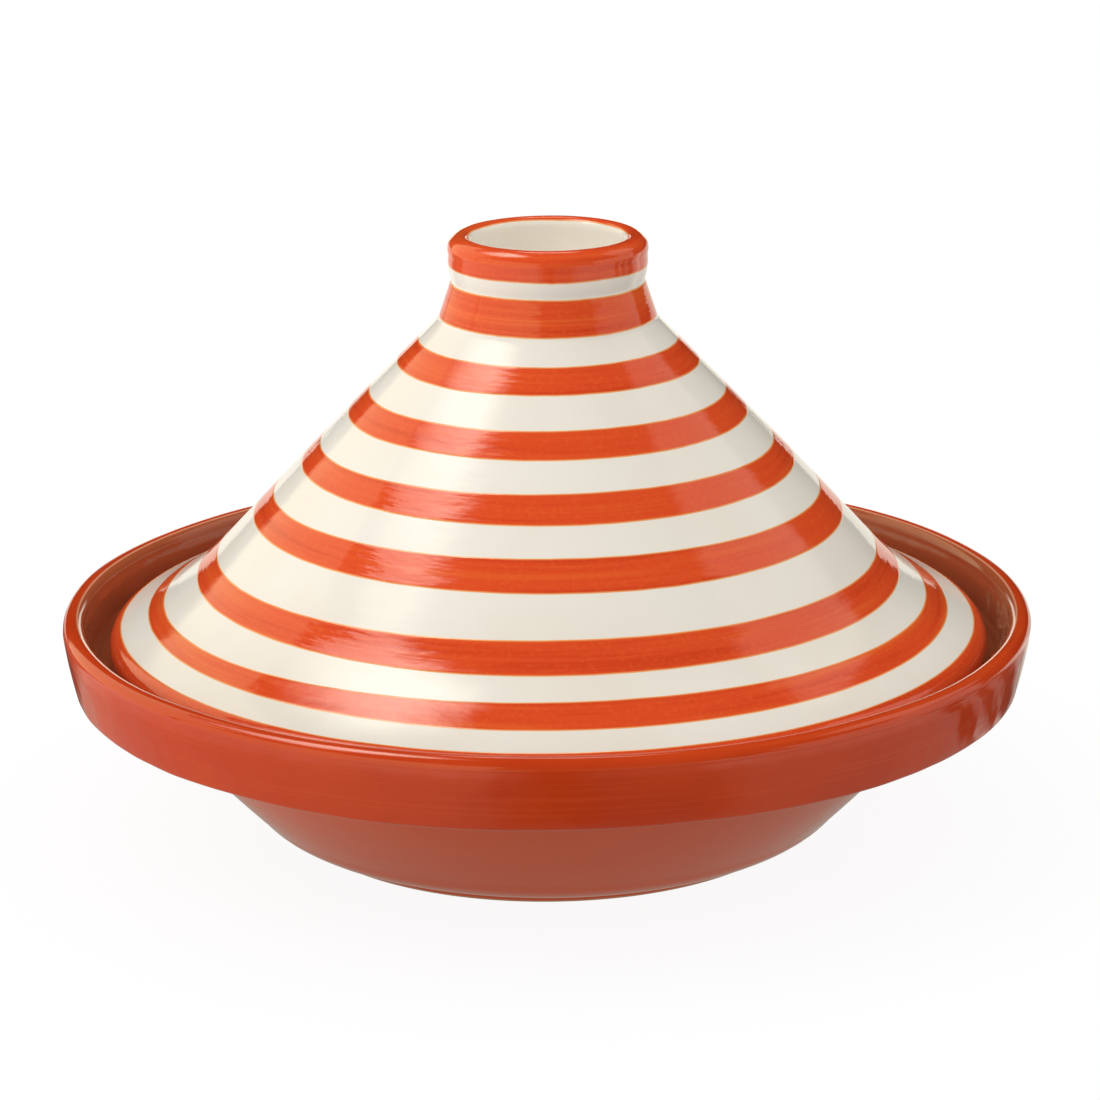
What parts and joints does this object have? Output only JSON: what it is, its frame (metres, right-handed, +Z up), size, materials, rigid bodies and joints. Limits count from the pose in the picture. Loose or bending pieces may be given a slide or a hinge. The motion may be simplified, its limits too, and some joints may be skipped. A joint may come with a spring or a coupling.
{
  "type": "tagine pot",
  "caption": "Glazed earthenware tagine: a shallow footed dish with a raised rim and inner ledge, and a tall conical lid with painted bands and a cup-shaped knob.",
  "frame": {"origin": "centre of the foot ring's underside, where the tagine stands on the table", "axes": "+Z up along the axis that the dish and the lid were both turned round; X and Y are interchangeable"},
  "size_m": [0.28, 0.28, 0.173],
  "materials": {
    "dish_glaze": null,
    "cream_glaze": null,
    "orange_glaze": null
  },
  "bodies": {
    "dish": {"dish": "dish_glaze"},
    "lid": {"lid": "cream_glaze", "lid_glaze_bands": "orange_glaze"}
  },
  "joints": [
    {"name": "lid_lift", "type": "slide", "parent": "dish", "child": "lid", "axis": [0, 0, 1], "range_m": [0, 0.06]}
  ]
}
